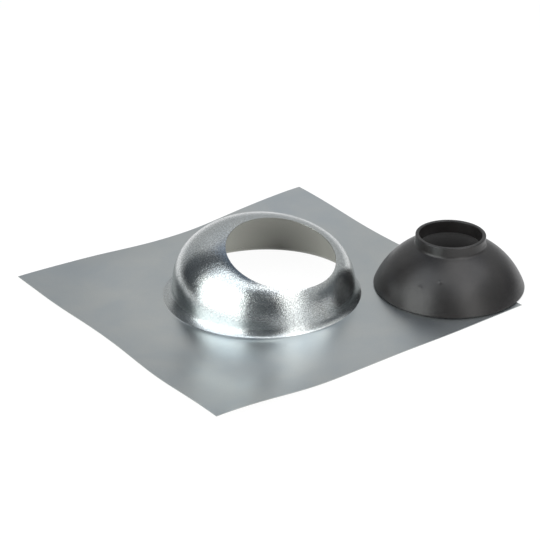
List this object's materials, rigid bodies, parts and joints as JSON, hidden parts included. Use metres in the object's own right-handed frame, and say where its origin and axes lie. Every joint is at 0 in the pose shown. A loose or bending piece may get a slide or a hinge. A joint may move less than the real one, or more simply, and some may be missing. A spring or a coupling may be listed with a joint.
{
  "type": "pipe flashing boot",
  "caption": "Roof flashing for a vent pipe: a steel sheet drawn up into a dome with a tilted round hole, and the loose rubber collar that seals the pipe.",
  "frame": {"origin": "on the underside of the sheet, at the centre of the dome's round foot", "axes": "+Z out of the roof, square to the flat of the sheet; -Y uphill, the way the pipe hole leans; +X along the roof, towards the side where the loose collar lies"},
  "size_m": [0.3497, 0.3005, 0.0595],
  "materials": {
    "galvanised_steel": "satin galvanised sheet, shinier where the dome is drawn",
    "black_rubber": "smooth moulded, dull sheen"
  },
  "bodies": {
    "root": {"steel_flashing": "galvanised_steel", "rubber_collar": "black_rubber"}
  },
  "joints": []
}
